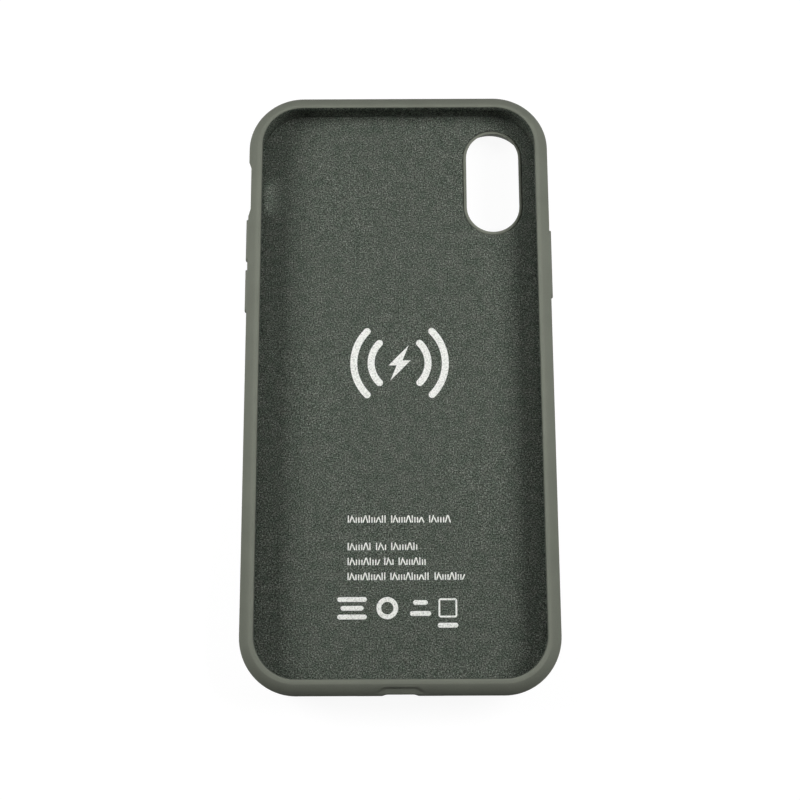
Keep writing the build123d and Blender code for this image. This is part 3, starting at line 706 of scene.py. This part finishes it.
def buildPrint():
    skin = newSkin()
    centre = np.array([sign["x"], sign["y"]])
    turn = np.radians(np.linspace(-sign["spread"], sign["spread"], sign["steps"]))
    for radius in sign["radii"]:
        for way in (-1, 1):
            arc = centre + radius * np.c_[way * np.cos(turn), np.sin(turn)]
            addStroke(skin, arc, sign["stroke"])
    corners = np.array(bolt["half"] + [(-x, -y) for x, y in bolt["half"]])[:, None]
    share = np.linspace(0, 1, bolt["steps"], endpoint=False)[None, :, None]
    edge = (corners * (1 - share) + np.roll(corners, -1, axis=0) * share).reshape(-1, 2)
    addSlab(skin, np.tile(centre, (len(edge), 1)), centre + edge)
    low = -ticks["height"] / 2
    for y, dashes in lines:
        for start, end in dashes:
            count = int((end - start) / ticks["pitch"])
            inset = ticks["pitch"] / 2
            for i, x in enumerate(np.linspace(start + inset, end - inset, count)):
                lean = ticks["lean"] * ticks["leans"][i % len(ticks["leans"])]
                top = -low + ticks["tall"] * ticks["talls"][i % len(ticks["talls"])]
                tick = np.linspace((x - lean, y + low), (x + lean, y + top), ink["tickSteps"])
                addStroke(skin, tick, ticks["stroke"])
    for x, rise, reach in marks["bars"]:
        y = marks["y"] + rise
        addStroke(skin, np.linspace((x - reach, y), (x + reach, y), ink["barSteps"]), marks["bold"])
    ring = pillLoop((marks["ringX"], marks["y"]), 0, marks["ringSteps"], 0)
    addBand(skin, *ring, marks["half"], marks["bold"])
    corner = marks["squareCorner"]
    square = squareLoop((marks["squareX"], marks["y"]), marks["half"] - corner,
                        marks["squareSteps"])
    addBand(skin, *square, corner, marks["fine"])
    return makePiece("liningPrint", skin)


liningPrint = buildPrint()
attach(liningPrint, "case")

# Materials: procedural, in object coordinates

coverLook = {
    "colour": (0.178, 0.190, 0.156),
    "grain": (0.16, 3),  # size in millimetres, detail and fineness, as for the other noises
    "grainTones": ((0.32, 0.93), (0.68, 1.07)),  # stop and share of the colour
    "cloud": (9.0, 2),
    "cloudTones": ((0.3, (0.95, 0.95, 0.95)), (0.7, (1.05, 1.05, 1.05))),
    "relief": (0.012, 0.5),  # millimetres and strength
    "values": {"Roughness": 0.6, "Specular IOR Level": 0.06},
}
napLook = {
    "colour": (0.071, 0.081, 0.068),
    "fibre": (0.33, 2, 0.7),
    "fibreTones": ((0.3, 0.2), (0.4, 0.48), (0.5, 1.0), (0.6, 2.0), (0.7, 3.8)),
    "cloud": (2.4, 3),
    "cloudTones": ((0.3, (0.80, 0.86, 0.82)), (0.7, (1.17, 1.13, 1.14))),
    "fleck": 3.6,  # between flecks
    "fleckColour": (0.34, 0.36, 0.33, 1),
    "fleckTones": ((0.022, (1, 1, 1)), (0.034, (0, 0, 0))),
    "relief": (0.1, 0.8),
    "values": {"Roughness": 0.95, "Specular IOR Level": 0.15,
               "Sheen Weight": 0.12, "Sheen Roughness": 0.5},
}
inkLook = {
    "speckle": (0.36, 2, 0.7),
    "tones": ((0.28, (0.36, 0.37, 0.35)), (0.44, (0.76, 0.77, 0.73)), (0.58, (0.92, 0.93, 0.89))),
    "values": {"Roughness": 0.85, "Specular IOR Level": 0.2},
}
plainTone = {"stops": (0.3, 0.7), "strength": 0.6}
metal = {"Metallic": 1.0, "Roughness": 0.32}
foil = {"Metallic": 0.85, "Roughness": 0.36}
plainLooks = {  # material, colour, its spread, grain and relief in millimetres, shader values
    "dark_plastic": ("darkPlastic", (0.03, 0.031, 0.03), 0.15, 0.4, 0.02, {"Roughness": 0.55}),
    "key_plastic": ("keyPlastic", (0.09, 0.094, 0.08), 0.06, 0.3, 0.008, {"Roughness": 0.42}),
    "pouch_foil": ("pouchFoil", (0.72, 0.73, 0.75), 0.06, 2.5, 0.03, foil),
    "tape": ("tape", (0.75, 0.72, 0.62), 0.06, 1.2, 0, {"Roughness": 0.7}),
    "board": ("solderMask", (0.02, 0.085, 0.04), 0.12, 1.0, 0, {"Roughness": 0.35}),
    "nickel": ("nickelStrip", (0.66, 0.64, 0.6), 0.07, 0.8, 0, metal),
    "steel": ("drawnSteel", (0.6, 0.6, 0.61), 0.07, 0.7, 0, metal),
    "gold": ("goldPlate", (0.83, 0.62, 0.25), 0.05, 0.5, 0, dict(metal, Roughness=0.25)),
    "copper_wire": ("enamelledCopper", (0.7, 0.33, 0.17), 0.08, 1.0, 0, dict(metal, Roughness=0.3)),
    "ferrite": ("ferriteSheet", (0.04, 0.04, 0.045), 0.2, 0.8, 0, {"Roughness": 0.6}),
    "chip_epoxy": ("chipEpoxy", (0.02, 0.02, 0.021), 0.2, 0.3, 0, {"Roughness": 0.5}),
    "capacitor": ("firedCeramic", (0.5, 0.4, 0.27), 0.08, 0.6, 0, {"Roughness": 0.45}),
    "led_lens": ("lightLens", (0.85, 0.84, 0.72), 0.03, 0.6, 0, {"Roughness": 0.3}),
    "light_pipe": ("frostedPipe", (0.8, 0.82, 0.82), 0.03, 0.5, 0, {"Roughness": 0.4}),
    "red_lead": ("redSleeve", (0.45, 0.02, 0.02), 0.06, 0.8, 0, {"Roughness": 0.5}),
    "black_lead": ("blackSleeve", (0.02, 0.02, 0.02), 0.1, 0.8, 0, {"Roughness": 0.5}),
}


def put(tree, kind, values=(), links=()):
    # adds a shader node with socket values and incoming links
    node = tree.nodes.new(kind)
    for socket, value in dict(values).items():
        node.inputs[socket].default_value = value
    for socket, source in dict(links).items():
        tree.links.new(source, node.inputs[socket])
    return node


def startMaterial(name, values):
    material = bpy.data.materials.new(name)
    material.use_nodes = True
    tree = material.node_tree
    shader = tree.nodes["Principled BSDF"]
    for socket, value in values.items():
        shader.inputs[socket].default_value = value
    return material, tree, shader, put(tree, "ShaderNodeTexCoord").outputs["Object"]


def noise(tree, place, grain, detail=2.0, rough=0.5):
    # noise with features of about the given size in millimetres
    values = {"Scale": 1 / (grain * mm), "Detail": detail, "Roughness": rough}
    return put(tree, "ShaderNodeTexNoise", values, {"Vector": place}).outputs["Fac"]


def ramp(tree, factor, stops):
    # colour ramp from (position, colour) stops
    node = put(tree, "ShaderNodeValToRGB", links={0: factor})
    elements = node.color_ramp.elements
    while len(elements) < len(stops):
        elements.new(0.5)
    for element, (position, colour) in zip(elements, stops):
        element.position = position
        element.color = (*colour, 1.0)
    return node.outputs["Color"]


def tones(colour, stops):
    # ramp stops from shares of one colour
    return [(position, tuple(part * share for part in colour)) for position, share in stops]


def blend(tree, first, second, way="MIX", factor=None):
    # mixes two colours, in full where no factor is linked; second is a socket or a colour
    # (an RGBA mix has its factor in socket 0 and its colours in sockets 6 and 7)
    node = put(tree, "ShaderNodeMix")
    node.data_type = "RGBA"
    node.blend_type = way
    if factor is None:
        node.inputs[0].default_value = 1.0
    else:
        tree.links.new(factor, node.inputs[0])
    tree.links.new(first, node.inputs[6])
    if isinstance(second, tuple):
        node.inputs[7].default_value = second
    else:
        tree.links.new(second, node.inputs[7])
    return node.outputs[2]


def bump(tree, shader, height, relief):
    distance, strength = relief
    values = {"Strength": strength, "Distance": distance * mm}
    node = put(tree, "ShaderNodeBump", values, {"Height": height})
    tree.links.new(node.outputs["Normal"], shader.inputs["Normal"])


def plainMaterial(name, colour, spread, grain, relief, values):
    # plain finish: noise moves the colour a little each way and gives a fine relief
    material, tree, shader, place = startMaterial(name, values)
    speckle = noise(tree, place, grain)
    shares = zip(plainTone["stops"], (1 - spread, 1 + spread))
    tree.links.new(ramp(tree, speckle, tones(colour, shares)), shader.inputs["Base Color"])
    if relief:
        bump(tree, shader, speckle, (relief, plainTone["strength"]))
    return material


def napColour(tree, place, fibre):
    # salt-and-pepper fibre ends over slow cloudy shading
    base = ramp(tree, fibre, tones(napLook["colour"], napLook["fibreTones"]))
    patch = ramp(tree, noise(tree, place, *napLook["cloud"]), napLook["cloudTones"])
    return blend(tree, base, patch, "MULTIPLY")


def coverMaterial():
    # soft-touch moulding: even grey-green with a fine matt grain, and the dark nap colour painted
    # on the pocket's wall as its shade
    material, tree, shader, place = startMaterial("softCover", coverLook["values"])
    grain = noise(tree, place, *coverLook["grain"])
    base = ramp(tree, grain, tones(coverLook["colour"], coverLook["grainTones"]))
    patch = ramp(tree, noise(tree, place, *coverLook["cloud"]), coverLook["cloudTones"])
    plain = blend(tree, base, patch, "MULTIPLY")
    paintedWallShade = put(tree, "ShaderNodeAttribute")
    paintedWallShade.attribute_name = "paintedWallShade"
    paintedShadeColour = napColour(tree, place, noise(tree, place, *napLook["fibre"]))
    # painted shade: where the wall is marked, the moulding's colour gives way to the dark nap
    # colour
    colour = blend(tree, plain, paintedShadeColour, factor=paintedWallShade.outputs["Fac"])
    tree.links.new(colour, shader.inputs["Base Color"])
    bump(tree, shader, grain, coverLook["relief"])
    return material


def liningMaterial():
    # short nap with a soft sheen and a few light flecks
    material, tree, shader, place = startMaterial("flockCloth", napLook["values"])
    fibre = noise(tree, place, *napLook["fibre"])
    cells = put(tree, "ShaderNodeTexVoronoi", {"Scale": 1 / (napLook["fleck"] * mm)},
                {"Vector": place})
    flecks = ramp(tree, cells.outputs["Distance"], napLook["fleckTones"])
    colour = blend(tree, napColour(tree, place, fibre), napLook["fleckColour"], factor=flecks)
    tree.links.new(colour, shader.inputs["Base Color"])
    bump(tree, shader, fibre, napLook["relief"])
    return material


def inkMaterial():
    # white ink on nap: a little of the cloth shows through as grey specks
    material, tree, shader, place = startMaterial("whiteInk", inkLook["values"])
    speckle = noise(tree, place, *inkLook["speckle"])
    tree.links.new(ramp(tree, speckle, inkLook["tones"]), shader.inputs["Base Color"])
    return material


finishes = {slot: plainMaterial(*look) for slot, look in plainLooks.items()}
finishes["soft_cover"] = coverMaterial()
finishes["flock_cloth"] = liningMaterial()
for subpart in frame["record"]["subparts"]:
    node = nodes[subpart["node"]]
    node.data.materials.clear()
    node.data.materials.append(finishes[subpart["material_slot"]])
caseCover.data.materials.append(finishes["soft_cover"])
liningCloth.data.materials.append(finishes["flock_cloth"])
liningPrint.data.materials.append(inkMaterial())
print("materials:", len(bpy.data.materials))

# Stage: a white floor that keeps a faint shadow, soft lamps and the camera

studio = {
    "floorHalf": 3.0, "floorDrop": 0.05, "floorGlow": 0.93, "floorTone": 0.12, "bounceTone": 0.16,
    "worldLevel": 0.03,
    "lamps": {  # place in metres, size in metres, watts
        "overhead": ((0.0, 0.18, 0.75), 0.35, 0.4),
        "leftSide": ((-0.205, 0.04, 0.195), 0.12, 0.49),
        "rightSide": ((0.186, 0.03, 0.226), 0.13, 0.58),
    },
}
view = {"place": (0.17, -52.09, 273.91), "aim": (0.17, -4.87, 16.2), "roll": -0.242,
        "lens": 48.81, "sensor": 36.0, "clipStart": 0.01}


def cameraRays(tree):
    # 1 where the camera, a reflection or a refraction looks at the surface, 0 for bounced light
    path = put(tree, "ShaderNodeLightPath").outputs
    seen = path["Is Camera Ray"]
    for kind in ("Is Glossy Ray", "Is Transmission Ray"):
        either = put(tree, "ShaderNodeMath", links={0: seen, 1: path[kind]})
        either.operation = "MAXIMUM"
        seen = either.outputs[0]
    return seen


def grey(level):
    return (level, level, level, 1)


def buildFloor():
    # glows white to the camera and darkens where the part shades it
    half, z = studio["floorHalf"], -studio["floorDrop"] * mm
    mesh = bpy.data.meshes.new("floor")
    corners = [(-half, -half, z), (half, -half, z), (half, half, z), (-half, half, z)]
    mesh.from_pydata(corners, [], [(0, 1, 2, 3)])
    floor = bpy.data.objects.new("floor", mesh)
    bpy.context.scene.collection.objects.link(floor)
    material = bpy.data.materials.new("whiteFloor")
    material.use_nodes = True
    tree = material.node_tree
    tree.nodes.remove(tree.nodes["Principled BSDF"])
    glow = put(tree, "ShaderNodeEmission", {"Strength": studio["floorGlow"]})
    shade = put(tree, "ShaderNodeBsdfDiffuse", {"Color": grey(studio["floorTone"])})
    bounce = put(tree, "ShaderNodeBsdfDiffuse", {"Color": grey(studio["bounceTone"])})
    both = put(tree, "ShaderNodeAddShader", links={0: glow.outputs[0], 1: shade.outputs[0]})
    chosen = put(tree, "ShaderNodeMixShader",
                 links={0: cameraRays(tree), 1: bounce.outputs[0], 2: both.outputs[0]})
    tree.links.new(chosen.outputs[0], tree.nodes["Material Output"].inputs["Surface"])
    mesh.materials.append(material)


def buildLight():
    # white behind the part for the camera only, a low even light and three soft lamps
    world = bpy.data.worlds.new("studio")
    world.use_nodes = True
    bpy.context.scene.world = world
    tree = world.node_tree
    low = tree.nodes["Background"]
    low.inputs["Color"].default_value = grey(1)
    low.inputs["Strength"].default_value = studio["worldLevel"]
    white = put(tree, "ShaderNodeBackground", {"Color": grey(1), "Strength": 1.0})
    chosen = put(tree, "ShaderNodeMixShader",
                 links={0: cameraRays(tree), 1: low.outputs[0], 2: white.outputs[0]})
    tree.links.new(chosen.outputs[0], tree.nodes["World Output"].inputs["Surface"])
    for name, (place, size, watts) in studio["lamps"].items():
        lamp = bpy.data.lights.new(name, "AREA")
        lamp.shape = "SQUARE"
        lamp.size = size
        lamp.energy = watts
        holder = bpy.data.objects.new(name, lamp)
        holder.location = place
        holder.rotation_euler = (-Vector(place)).to_track_quat("-Z", "Y").to_euler()
        bpy.context.scene.collection.objects.link(holder)


def buildCamera():
    # looks from place to aim, level with X, then rolled by a small angle
    place, aim = Vector(view["place"]) * mm, Vector(view["aim"]) * mm
    ahead = (aim - place).normalized()
    right = ahead.cross(Vector((0, 0, 1))).normalized()
    up = right.cross(ahead)
    roll = math.radians(view["roll"])
    turnedRight = right * math.cos(roll) + up * math.sin(roll)
    turnedUp = up * math.cos(roll) - right * math.sin(roll)
    data = bpy.data.cameras.new("photoCamera")
    data.lens = view["lens"]
    data.sensor_width = view["sensor"]
    data.clip_start = view["clipStart"]
    eye = bpy.data.objects.new("photoCamera", data)
    turned = Matrix((turnedRight, turnedUp, -ahead)).transposed().to_4x4()
    eye.matrix_world = Matrix.Translation(place) @ turned
    bpy.context.scene.collection.objects.link(eye)
    bpy.context.scene.camera = eye


buildFloor()
buildLight()
buildCamera()
bpy.context.scene.view_settings.view_transform = "Standard"
print("stage ready")
